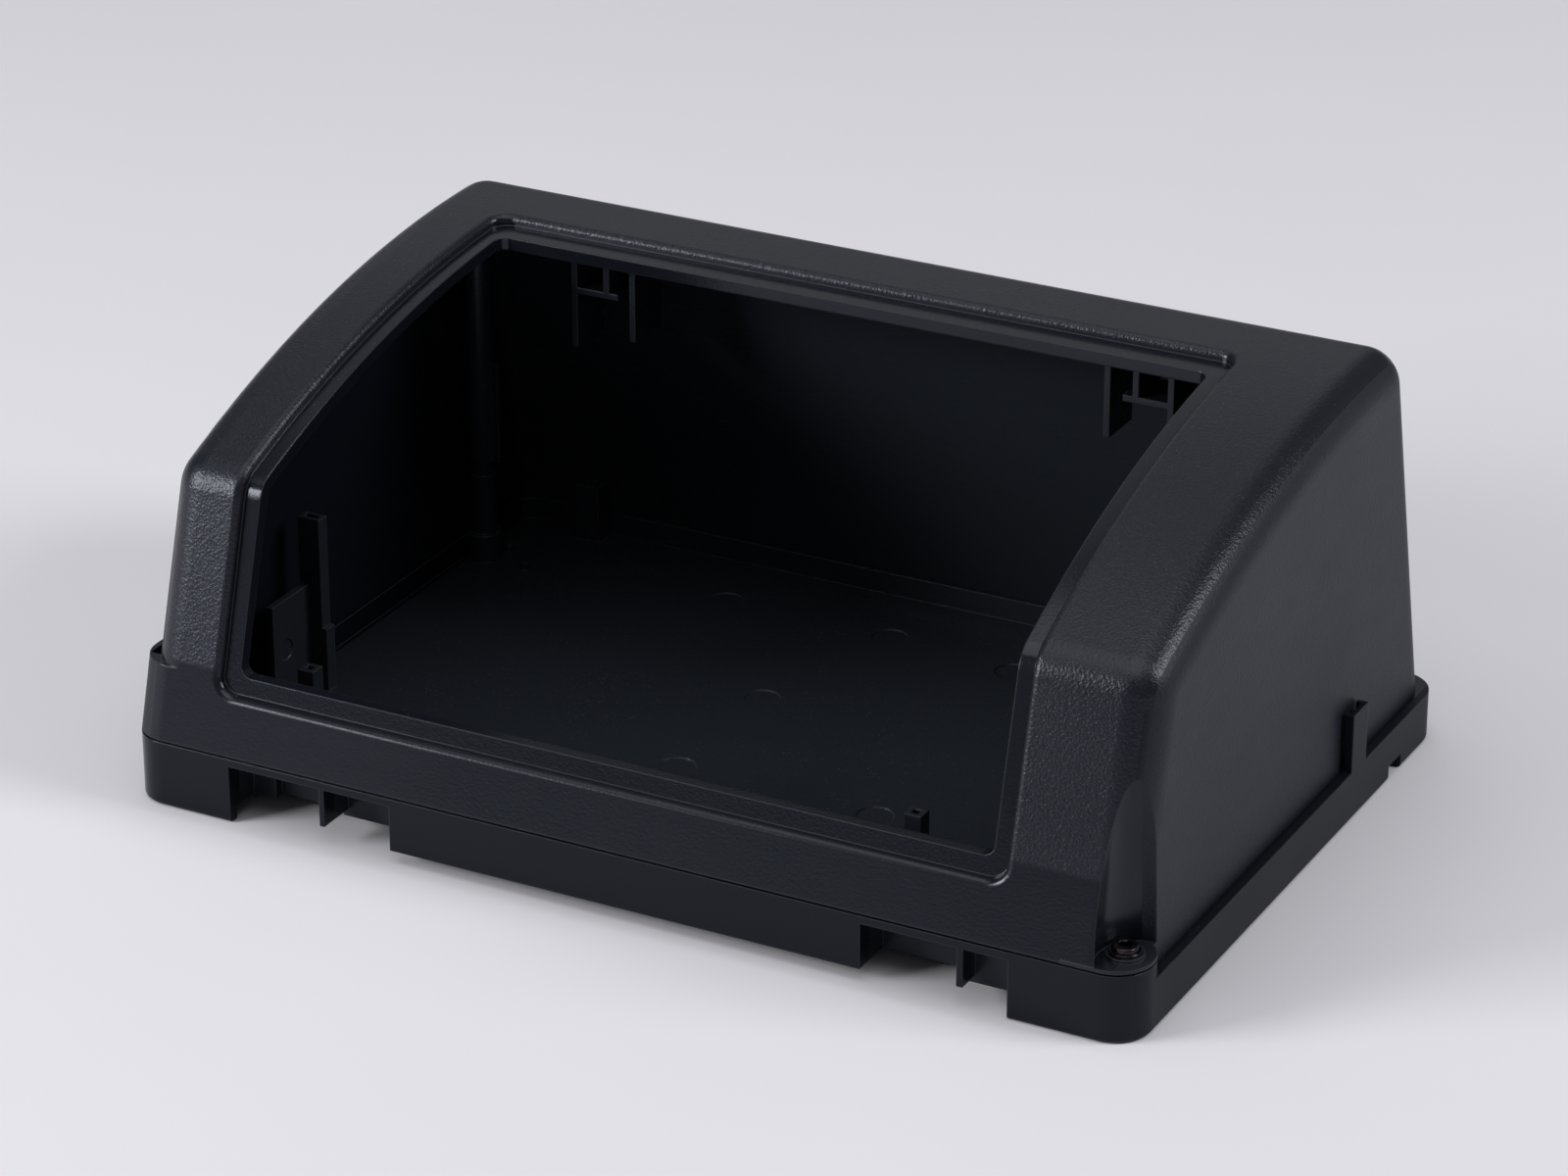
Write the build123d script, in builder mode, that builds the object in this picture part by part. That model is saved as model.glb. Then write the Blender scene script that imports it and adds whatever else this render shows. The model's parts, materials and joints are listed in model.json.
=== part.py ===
from build123d import *
import os
from math import hypot

# ---------------------------------------------------------------------------
# Housing of two moulded halves held by four screws.  Millimetres, +Z up,
# front towards -Y, origin at the centre of the base underside.
# Distances named *_y are measured from the front edge of the base.
# ---------------------------------------------------------------------------

# Overall sizes
case_width = 200.0
case_depth = 138.0
front_corner_radius = 7.0
rear_corner_radius = 8.0
parting_z = 12.8
flange_z = 9.8

# Upper cover outline, in side view
cover_inset = 2.2
cover_side_draft = 0.6
front_lean = 0.28
break_z = 61.8
top_rear_y = 120.0
top_rear_z = 83.0
slope_rise = 6.0
cover_rear_y = 136.0
break_radius = 8.0
top_rear_radius = 7.6
cover_edge_radius = 7.0
cover_wall = 2.5
profile_foot_z = -20.0
cut_past = 1.0
reveal_height = 0.4
reveal_depth = 0.6

# Window in the cover
window_shift = -4.0
window_half_bottom = 78.1
window_half_top = 75.9
window_sill_z = 23.5
window_head_y = 101.5
rebate_depth = 1.9
rebate_edge_radius = 1.3
ledge_side = 3.2
ledge_sill = 3.15
ledge_head = 5.2
ledge_thickness = 2.4
window_corner_radius = 3.5
opening_corner_radius = 2.4
frame_margin = 2.5
sky_z = 110.0
rim_tolerance = 0.01

# Front corner screw places
screw_x = 94.8
screw_y = 6.8
scoop_x = 98.5
scoop_y = 5.2
scoop_radius = 8.0
scoop_taper = 2.86
scoop_wall = 2.2
scoop_height = 62.0
tab_thickness = 1.0
collar_radius = 3.4
collar_height = 0.6
ear_width = 14.0
ear_depth = 12.0
lug_width = 12.4
lug_depth = 12.0
lug_top_z = 26.5
lug_seat_z = 5.0
lug_slot_left = -98.9
lug_slot_right = -96.5
lug_slot_front_y = 7.4
lug_slot_rear_y = 10.8
lug_slot_depth = 5.0

# Base tray
floor_top_z = 5.3
floor_under_z = 2.6
tray_half_width = 94.5
tray_rear_y = 132.5
tray_corner_radius = 5.0
front_wall = 2.5
skirt_wall = 2.2
bottom_edge_radius = 0.9
under_rib = 1.4
under_rib_gap = 0.6
under_rib_front_y = 16.0
under_rib_x = [-66.0, -33.0, 0.0, 33.0, 66.0]
under_rib_y = [45.0, 90.0]

# Front recesses of the base
recess_lip = 1.5
recess_wall = 1.8
recess_a_left = -78.3
recess_a_step = -73.6
recess_a_rib_left = -59.2
recess_a_rib_right = -58.2
recess_a_right = -44.6
recess_a_back = 8.0
recess_a_deep = 10.0
recess_b_left = 48.8
recess_b_rib_left = 67.0
recess_b_rib_right = 68.2
recess_b_right = 76.5
recess_b_back = 8.7
recess_b_shallow = 4.9
recess_rib_foot_z = 4.0

# Side details of the base
guard_front_y = 93.8
guard_rear_y = 100.5
guard_top_z = 21.3
guard_wall = 0.9
guard_gap = 0.15
side_slot_front_y = 112.5
side_slot_rear_y = 118.5
side_slot_height = 3.0

# Rear screw columns
column_x = 91.0
column_y = 111.5
base_ring_radius = 3.4
base_ring_top_z = 11.0
base_boss_radius = 2.5
base_boss_top_z = 23.5
cover_boss_radius = 2.6
cover_boss_foot_z = 26.4
spigot_radius = 2.1
boss_fin = 1.2
boss_fin_out = 3.5
boss_fin_in = 4.0
boss_fin_top_z = 47.0
rear_seat_z = 3.6
screw_well_radius = 3.2
rear_collar_radius = 4.6

# Screws
shank_radius = 1.45
shank_clearance = 0.05
pilot_extra = 1.5
head_rim_radius = 2.8
head_rim_height = 0.5
head_radius = 2.3
head_height = 1.5
head_edge_radius = 0.5
socket_across = 2.2
socket_depth = 1.1
front_screw_length = 11.0
lug_screw_length = 18.0
rear_screw_length = 32.0

# Small parts inside the tray
mark_radius = 3.5
mark_depth = 0.25
mark_places = [(-12.6, 80.4), (-3.5, 115.2), (-39.1, 115.3), (-13.1, 48.3), (27.7, 47.4), (23.9, 112.3)]
peg_radius = 0.9
peg_height = 1.6
peg_places = [(-88.1, 115.7), (-81.1, 109.8)]
post_wall = 0.9
short_post_size = 3.3
short_post_top_z = 20.3
short_post_places = [(-77.0, 26.0), (46.5, 26.0)]
rear_post_x = -76.8
rear_post_y = 129.4
rear_post_width = 5.0
rear_post_depth = 3.9
rear_post_top_z = 17.0
tall_post_x = -88.8
tall_post_y = 46.6
tall_post_width = 4.5
tall_post_depth = 2.8
tall_post_top_z = 40.0
tall_post_foot_width = 6.2
tall_post_foot_z = 18.0
plate_step = 0.25
plate_thickness = 1.4
plate_front_y = 33.0
plate_top_z = 26.5
plate_mark_y = 37.4
plate_mark_z = 16.4
plate_mark_radius = 2.0

# Ribs hanging from the top of the cover
hang_front_y = 103.0
hang_length = 10.0
hang_rib = 1.2
hang_left_shift = 1.9
long_rib_x = 50.0
long_rib_foot_z = 61.2
tee_rib_x = 55.6
tee_rib_foot_z = 69.0
tee_foot_width = 5.0
outer_rib_x = 62.5
outer_rib_foot_z = 58.0

# Values that follow from the sizes above
front_y = -case_depth / 2
half_width = case_width / 2
cover_half = half_width - cover_inset
break_y = front_lean * (break_z - parting_z)
rear_slope = (cover_rear_y - top_rear_y) / (top_rear_z - flange_z)
scoop_foot_z = parting_z + tab_thickness
front_seat_z = scoop_foot_z + collar_height
hole_radius = shank_radius + shank_clearance


def level(z):
    """Horizontal plane at height z, origin at the middle of the front edge."""
    return Plane(origin=(0, front_y, z))


def section():
    """Side view plane on the middle of the housing: x is depth, y is height."""
    return Plane(origin=(0, front_y, 0), x_dir=(0, 1, 0), z_dir=(1, 0, 0))


def block(x_low, x_high, y_low, y_high, z_low, z_high, mode=Mode.ADD):
    """Rectangular block between the given limits."""
    with BuildSketch(level(z_low)) as base:
        with Locations(((x_low + x_high) / 2, (y_low + y_high) / 2)):
            Rectangle(x_high - x_low, y_high - y_low)
    extrude(base.sketch, amount=z_high - z_low, mode=mode)


def rod(x, y, radius, z_low, z_high, mode=Mode.ADD, taper=0.0):
    """Upright round rod, boss or bore, optionally tapering upwards."""
    with BuildSketch(level(z_low)) as base:
        with Locations((x, y)):
            Circle(radius)
    extrude(base.sketch, amount=z_high - z_low, taper=taper, mode=mode)


def hollow_post(x, y, width, depth, top_z):
    """Square post open at the top, standing on the tray floor."""
    block(x - width / 2, x + width / 2, y - depth / 2, y + depth / 2, floor_top_z, top_z)
    block(x - width / 2 + post_wall, x + width / 2 - post_wall, y - depth / 2 + post_wall,
          y + depth / 2 - post_wall, floor_top_z, top_z, Mode.SUBTRACT)


def case_outline(inset=0.0):
    """Plan outline of the base, drawn in the current sketch."""
    with Locations((0, case_depth / 2)):
        Rectangle(case_width - 2 * inset, case_depth - 2 * inset)
    fillet(vertices().group_by(Axis.Y)[0], front_corner_radius - inset)
    fillet(vertices().group_by(Axis.Y)[-1], rear_corner_radius - inset)


def ear_outline(side):
    """Plan outline of a front corner ear, rounded round its outer end, in the current sketch."""
    radius = front_corner_radius
    centre_x = side * (half_width - radius)
    with Locations((centre_x, radius)):
        Circle(radius)
    with Locations((side * (half_width - (ear_width + radius) / 2), ear_depth / 2)):
        Rectangle(ear_width - radius, ear_depth)
    with Locations((centre_x, ear_depth + radius)):
        Rectangle(2 * radius, 2 * radius, mode=Mode.SUBTRACT)


def cover_profile(inset=0.0):
    """Side outline of the cover, moved inwards by inset, as a sketch."""
    rise_y = top_rear_y - break_y
    rise_z = top_rear_z - break_z
    chord = hypot(rise_y, rise_z)
    middle_y = (break_y + top_rear_y) / 2 - slope_rise * rise_z / chord
    middle_z = (break_z + top_rear_z) / 2 + slope_rise * rise_y / chord
    foot_front_y = front_lean * (profile_foot_z - parting_z)
    foot_rear_y = cover_rear_y + rear_slope * (flange_z - profile_foot_z)
    with BuildSketch(section()) as profile:
        with BuildLine():
            Line((foot_front_y, profile_foot_z), (break_y, break_z))
            ThreePointArc((break_y, break_z), (middle_y, middle_z), (top_rear_y, top_rear_z))
            Polyline(
                (top_rear_y, top_rear_z),
                (foot_rear_y, profile_foot_z),
                (foot_front_y, profile_foot_z),
            )
        make_face()
        top_points = vertices().group_by(Axis.Y)
        fillet(top_points[-1], top_rear_radius)
        break_points = vertices().filter_by_position(Axis.Y, break_z - cut_past, break_z + cut_past)
        fillet(break_points, break_radius)
        if inset > 0:
            offset(amount=-inset, kind=Kind.INTERSECTION)
    return profile


def cover_body(inset=0.0):
    """Solid filling the cover, its skin moved inwards by inset everywhere."""
    profile = cover_profile(inset)
    half = cover_half - inset
    with BuildPart() as body:
        extrude(profile.sketch, amount=half, both=True)
        sides = body.solid().faces().filter_by(Axis.X)
        draft(sides, level(flange_z), cover_side_draft)
        rim = edges().filter_by(lambda e: abs(e.center().X) > half - break_radius)
        rim = rim.filter_by(lambda e: e.center().Z > profile_foot_z + cut_past)
        fillet(rim, cover_edge_radius - inset)
    return body


def window_prism(side_in, sill_in, head_in, radius):
    """Upright prism over the window, its four sides moved inwards."""
    low = window_half_bottom - side_in
    high = window_half_top - side_in
    sill_y = front_lean * (window_sill_z - parting_z) - frame_margin
    head_y = window_head_y - head_in
    sill_z = window_sill_z + sill_in
    with BuildPart() as prism:
        with BuildSketch(level(sill_z)):
            with BuildLine():
                Polyline(
                    (window_shift - low, sill_y),
                    (window_shift + low, sill_y),
                    (window_shift + high, head_y),
                    (window_shift - high, head_y),
                    close=True,
                )
            make_face()
            fillet(vertices().sort_by(Axis.Y)[2:4], radius)
        extrude(amount=sky_z - sill_z)
        with BuildSketch(Plane.XZ):
            with Locations((window_shift, (sky_z + sill_z) / 2)):
                Rectangle(2 * low, sky_z - sill_z)
            fillet(vertices().sort_by(Axis.Y)[0:2], radius)
        extrude(amount=case_depth, both=True, mode=Mode.INTERSECT)
    return prism


# ---------------------------------------------------------------------------
# Upper cover: skin, hollow and window cutters
# ---------------------------------------------------------------------------

skin = cover_body()
rebate_floor = cover_body(rebate_depth)
frame_back = cover_body(rebate_depth + ledge_thickness)
hollow = cover_body(cover_wall)

with BuildPart() as rebate_cutter:
    add(window_prism(0, 0, 0, window_corner_radius).part)
    add(rebate_floor.part, mode=Mode.SUBTRACT)

opening_cutter = window_prism(ledge_side, ledge_sill, ledge_head, opening_corner_radius)

with BuildPart() as window_frame:
    add(window_prism(-frame_margin, -frame_margin, -frame_margin, window_corner_radius).part)
    add(frame_back.part, mode=Mode.SUBTRACT)

with BuildPart() as hanging_ribs:
    for side in (-1, 1):
        middle_x = window_shift + (hang_left_shift if side < 0 else 0)
        long_x = middle_x + side * long_rib_x
        tee_x = middle_x + side * tee_rib_x
        outer_x = middle_x + side * outer_rib_x
        foot_ends = sorted((tee_x - side * tee_foot_width / 2, outer_x))
        rear = hang_front_y + hang_length
        half_rib = hang_rib / 2
        block(long_x - half_rib, long_x + half_rib, hang_front_y, rear, long_rib_foot_z, sky_z)
        block(tee_x - half_rib, tee_x + half_rib, hang_front_y, rear, tee_rib_foot_z, sky_z)
        block(foot_ends[0], foot_ends[1], hang_front_y, rear, tee_rib_foot_z, tee_rib_foot_z + hang_rib)
        block(outer_x - half_rib, outer_x + half_rib, hang_front_y, rear, outer_rib_foot_z, sky_z)

with BuildPart() as cover_bosses:
    for side in (-1, 1):
        x = side * column_x
        fin_ends = sorted((x - side * boss_fin_in, x + side * boss_fin_out))
        rod(x, column_y, cover_boss_radius, cover_boss_foot_z, sky_z)
        rod(x, column_y, spigot_radius, base_boss_top_z, cover_boss_foot_z)
        block(fin_ends[0], fin_ends[1], column_y - boss_fin / 2, column_y + boss_fin / 2,
              cover_boss_foot_z, boss_fin_top_z)

with BuildPart() as cavity:
    add(hollow.part)
    add(window_frame.part, mode=Mode.SUBTRACT)
    add(hanging_ribs.part, mode=Mode.SUBTRACT)
    add(cover_bosses.part, mode=Mode.SUBTRACT)
    rod(scoop_x, scoop_y, scoop_radius + scoop_wall, profile_foot_z, parting_z, Mode.SUBTRACT)
    rod(scoop_x, scoop_y, scoop_radius + scoop_wall, parting_z, parting_z + scoop_height,
        Mode.SUBTRACT, scoop_taper)

with BuildPart() as corner_pieces:
    with BuildSketch(level(parting_z)):
        ear_outline(1)
    extrude(amount=tab_thickness)
    rod(screw_x, screw_y, collar_radius, parting_z, front_seat_z)

# Lug on the left corner: the base outline carried up along the leaning front
with BuildPart() as left_lug:
    with BuildSketch(level(parting_z)):
        case_outline()
        with Locations((lug_width / 2 - half_width, lug_depth / 2)):
            Rectangle(lug_width, lug_depth, mode=Mode.INTERSECT)
    extrude(amount=2 * (lug_top_z - parting_z), dir=(0, front_lean, 1))
    block(-case_width, case_width, -case_depth, case_depth, lug_top_z, sky_z, Mode.SUBTRACT)
    block(lug_slot_left, lug_slot_right, lug_slot_front_y, lug_slot_rear_y,
          lug_top_z - lug_slot_depth, lug_top_z, Mode.SUBTRACT)

with BuildPart() as reveal:
    with BuildSketch(level(parting_z)):
        with Locations((0, case_depth / 2)):
            Rectangle(case_width + 2 * cut_past, case_depth + 2 * cut_past)
    extrude(amount=reveal_height)
    with BuildSketch(level(parting_z)):
        case_outline(reveal_depth)
    extrude(amount=reveal_height, mode=Mode.SUBTRACT)

with BuildPart() as upper_cover:
    add(skin.part)
    add(cavity.part, mode=Mode.SUBTRACT)
    block(-case_width, case_width, ear_depth, 2 * case_depth, profile_foot_z, flange_z, Mode.SUBTRACT)
    block(-case_width, case_width, -case_depth, ear_depth, profile_foot_z, parting_z, Mode.SUBTRACT)
    add(rebate_cutter.part, mode=Mode.SUBTRACT)
    skin_shell = skin.part.shells()[0]
    cutter_shell = rebate_cutter.part.shells()[0]
    rim = edges(Select.LAST).filter_by(lambda e: skin_shell.distance_to(e @ 0.5) < rim_tolerance)
    rim = rim.filter_by(lambda e: cutter_shell.distance_to(e @ 0.5) < rim_tolerance)
    fillet(rim, rebate_edge_radius)
    add(opening_cutter.part, mode=Mode.SUBTRACT)
    rod(scoop_x, scoop_y, scoop_radius, scoop_foot_z, parting_z + scoop_height, Mode.SUBTRACT, scoop_taper)
    add(corner_pieces.part)
    add(left_lug.part)
    rod(screw_x, screw_y, hole_radius, parting_z, front_seat_z, Mode.SUBTRACT)
    rod(-screw_x, screw_y, hole_radius, parting_z, lug_seat_z + lug_screw_length + pilot_extra, Mode.SUBTRACT)
    for side in (-1, 1):
        rod(side * column_x, column_y, hole_radius, base_boss_top_z,
            rear_seat_z + rear_screw_length + pilot_extra, Mode.SUBTRACT)
    add(reveal.part, mode=Mode.SUBTRACT)

# ---------------------------------------------------------------------------
# Base tray
# ---------------------------------------------------------------------------

with BuildPart() as base_tray:
    with BuildSketch(level(0)):
        case_outline()
    extrude(amount=flange_z)
    fillet(edges().group_by(Axis.Z)[0], bottom_edge_radius)
    with BuildSketch(level(flange_z)):
        with Locations((0, ear_depth / 2)):
            Rectangle(2 * (half_width - ear_width), ear_depth)
        for side in (-1, 1):
            ear_outline(side)
    extrude(amount=parting_z - flange_z)

    # Hollow of the tray behind the front wall, between the corner ears
    with BuildSketch(level(floor_top_z)):
        with Locations((0, (ear_depth + front_wall + tray_rear_y) / 2)):
            Rectangle(2 * tray_half_width, tray_rear_y - ear_depth - front_wall)
        fillet(vertices(), tray_corner_radius)
        with Locations((0, (front_wall + case_depth / 2) / 2)):
            Rectangle(2 * (half_width - ear_width), case_depth / 2 - front_wall)
    extrude(amount=parting_z - floor_top_z, mode=Mode.SUBTRACT)

    # Underside: open shell under the floor, reaching the front in the middle
    with BuildSketch(level(0)):
        case_outline(skirt_wall)
        for side in (-1, 1):
            with Locations((side * (half_width - ear_width / 2), ear_depth / 2)):
                Rectangle(ear_width, ear_depth, mode=Mode.SUBTRACT)
        with Locations(((recess_a_right + recess_b_left) / 2, skirt_wall)):
            Rectangle(recess_b_left - recess_a_right, 2 * skirt_wall)
    extrude(amount=floor_under_z, mode=Mode.SUBTRACT)
    for x in under_rib_x:
        block(x - under_rib / 2, x + under_rib / 2, under_rib_front_y, case_depth - skirt_wall,
              under_rib_gap, floor_under_z)
    for y in under_rib_y:
        block(skirt_wall - half_width, half_width - skirt_wall, y - under_rib / 2, y + under_rib / 2,
              under_rib_gap, floor_under_z)

    # Recesses in the front, each boxed off from the tray
    recess_z = parting_z - recess_lip
    block(recess_a_left - recess_wall, recess_a_right + recess_wall, 0, recess_a_deep + recess_wall,
          floor_under_z, parting_z)
    block(recess_b_left - recess_wall, recess_b_right + recess_wall, 0, recess_b_back + recess_wall,
          floor_under_z, parting_z)
    block(recess_a_left, recess_a_step, -cut_past, recess_a_back, -cut_past, recess_z, Mode.SUBTRACT)
    block(recess_a_step, recess_a_rib_left, -cut_past, recess_a_deep, -cut_past, recess_z, Mode.SUBTRACT)
    block(recess_a_rib_left, recess_a_rib_right, -cut_past, recess_a_back, -cut_past,
          recess_rib_foot_z, Mode.SUBTRACT)
    block(recess_a_rib_right, recess_a_right, -cut_past, recess_a_back, -cut_past, recess_z, Mode.SUBTRACT)
    block(recess_b_left, recess_b_rib_left, -cut_past, recess_b_back, -cut_past, recess_z, Mode.SUBTRACT)
    block(recess_b_rib_left, recess_b_rib_right, -cut_past, recess_b_shallow, -cut_past,
          recess_rib_foot_z, Mode.SUBTRACT)
    block(recess_b_rib_right, recess_b_right, -cut_past, recess_b_shallow, -cut_past, recess_z, Mode.SUBTRACT)

    # Guard on the right flange and slots in the side skirts
    guard_in = cover_half + guard_gap
    block(guard_in, half_width, guard_front_y, guard_rear_y, flange_z, guard_top_z)
    block(0, half_width - guard_wall, guard_front_y + guard_wall, guard_rear_y - guard_wall,
          flange_z, guard_top_z, Mode.SUBTRACT)
    for side in (-1, 1):
        with BuildSketch(level(-cut_past)):
            with Locations((side * half_width, (side_slot_front_y + side_slot_rear_y) / 2)):
                Rectangle(2 * skirt_wall, side_slot_rear_y - side_slot_front_y)
        extrude(amount=side_slot_height + cut_past, mode=Mode.SUBTRACT)

    # Screw columns and the left ear, bored from below, and the bore in the right ear
    for side in (-1, 1):
        x = side * column_x
        rod(x, column_y, rear_collar_radius, under_rib_gap, floor_under_z)
        rod(x, column_y, base_ring_radius, floor_top_z, base_ring_top_z)
        rod(x, column_y, base_boss_radius, base_ring_top_z, base_boss_top_z)
        rod(x, column_y, screw_well_radius, -cut_past, rear_seat_z, Mode.SUBTRACT)
        rod(x, column_y, hole_radius, 0, base_boss_top_z, Mode.SUBTRACT)
    rod(screw_x, screw_y, hole_radius, front_seat_z - front_screw_length - pilot_extra,
        parting_z, Mode.SUBTRACT)
    rod(-screw_x, screw_y, screw_well_radius, -cut_past, lug_seat_z, Mode.SUBTRACT)
    rod(-screw_x, screw_y, hole_radius, 0, parting_z, Mode.SUBTRACT)

    # Small posts, plate, pegs and round marks on the floor
    for x, y in short_post_places:
        hollow_post(x, y, short_post_size, short_post_size, short_post_top_z)
    hollow_post(rear_post_x, rear_post_y, rear_post_width, rear_post_depth, rear_post_top_z)
    post_front_y = tall_post_y - tall_post_depth / 2
    block(tall_post_x - tall_post_foot_width / 2, tall_post_x + tall_post_foot_width / 2, post_front_y,
          tall_post_y + tall_post_depth / 2, floor_top_z, tall_post_foot_z)
    hollow_post(tall_post_x, tall_post_y, tall_post_width, tall_post_depth, tall_post_top_z)
    plate_x = tall_post_x - tall_post_width / 2 + plate_step
    plate_face = plate_x + plate_thickness
    block(plate_x, plate_face, plate_front_y, post_front_y, floor_top_z, plate_top_z)
    with BuildSketch(Plane(origin=(plate_face, front_y, 0), x_dir=(0, 1, 0), z_dir=(1, 0, 0))):
        with Locations((plate_mark_y, plate_mark_z)):
            Circle(plate_mark_radius)
    extrude(amount=-mark_depth, mode=Mode.SUBTRACT)
    for x, y in peg_places:
        rod(x, y, peg_radius, floor_top_z, floor_top_z + peg_height)
    for x, y in mark_places:
        rod(x, y, mark_radius, floor_top_z - mark_depth, floor_top_z, Mode.SUBTRACT)

# ---------------------------------------------------------------------------
# Screws
# ---------------------------------------------------------------------------


def screw(x, y, seat_z, length, heading):
    """Socket screw seated at seat_z; heading +1 points its head up, -1 down."""
    place = Plane(origin=(x, front_y + y, seat_z), z_dir=(0, 0, heading))
    with BuildPart() as body:
        with BuildSketch(place):
            Circle(head_rim_radius)
        extrude(amount=head_rim_height)
        with BuildSketch(place):
            Circle(head_radius)
        extrude(amount=head_height)
        fillet(edges().sort_by(Axis.Z)[-1 if heading > 0 else 0], head_edge_radius)
        with BuildSketch(place.offset(head_height)):
            RegularPolygon(socket_across / 2, 6, major_radius=False)
        extrude(amount=-socket_depth, mode=Mode.SUBTRACT)
        with BuildSketch(place):
            Circle(shank_radius)
        extrude(amount=-length)
    return body


screw_front_right = screw(screw_x, screw_y, front_seat_z, front_screw_length, 1)
screw_front_left = screw(-screw_x, screw_y, lug_seat_z, lug_screw_length, -1)
screw_rear_right = screw(column_x, column_y, rear_seat_z, rear_screw_length, -1)
screw_rear_left = screw(-column_x, column_y, rear_seat_z, rear_screw_length, -1)

# ---------------------------------------------------------------------------
# Files
# ---------------------------------------------------------------------------

os.makedirs("parts", exist_ok=True)
upper_cover.part.label = "upper_cover"
export_step(upper_cover.part, "parts/upper_cover.step")
base_tray.part.label = "base_tray"
export_step(base_tray.part, "parts/base_tray.step")
screw_front_right.part.label = "screw_front_right"
export_step(screw_front_right.part, "parts/screw_front_right.step")
screw_front_left.part.label = "screw_front_left"
export_step(screw_front_left.part, "parts/screw_front_left.step")
screw_rear_right.part.label = "screw_rear_right"
export_step(screw_rear_right.part, "parts/screw_rear_right.step")
screw_rear_left.part.label = "screw_rear_left"
export_step(screw_rear_left.part, "parts/screw_rear_left.step")
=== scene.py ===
"""Looks for a moulded plastic housing: an upper cover and a base tray held by four screws."""

import json
import logging
import math
from dataclasses import dataclass, field
from enum import Enum

import bpy
from mathutils import Matrix, Vector

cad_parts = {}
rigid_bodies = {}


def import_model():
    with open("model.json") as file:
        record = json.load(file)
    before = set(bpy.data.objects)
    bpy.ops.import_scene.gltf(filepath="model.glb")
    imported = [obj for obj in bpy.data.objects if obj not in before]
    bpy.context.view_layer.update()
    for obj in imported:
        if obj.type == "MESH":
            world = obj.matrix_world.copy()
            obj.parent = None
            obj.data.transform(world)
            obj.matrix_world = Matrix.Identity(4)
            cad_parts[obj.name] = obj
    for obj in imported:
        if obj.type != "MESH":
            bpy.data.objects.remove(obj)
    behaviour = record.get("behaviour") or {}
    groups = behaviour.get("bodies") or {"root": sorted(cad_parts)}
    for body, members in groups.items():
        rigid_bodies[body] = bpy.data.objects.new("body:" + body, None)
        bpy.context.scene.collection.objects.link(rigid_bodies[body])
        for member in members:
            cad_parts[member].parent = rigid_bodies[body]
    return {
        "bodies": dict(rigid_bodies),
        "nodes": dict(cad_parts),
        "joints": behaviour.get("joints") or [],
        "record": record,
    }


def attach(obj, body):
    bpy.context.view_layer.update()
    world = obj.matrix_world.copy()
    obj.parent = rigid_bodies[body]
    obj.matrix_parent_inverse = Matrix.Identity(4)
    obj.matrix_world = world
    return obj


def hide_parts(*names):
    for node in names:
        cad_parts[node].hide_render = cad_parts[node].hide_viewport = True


LOG = logging.getLogger("housing")
MM = 0.001
BEVEL_SAMPLES = 4
TOUCHING = 0.000001
Colour = tuple[float, float, float, float]


# ---------------------------------------------------------------------------
# Node trees
# ---------------------------------------------------------------------------


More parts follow.
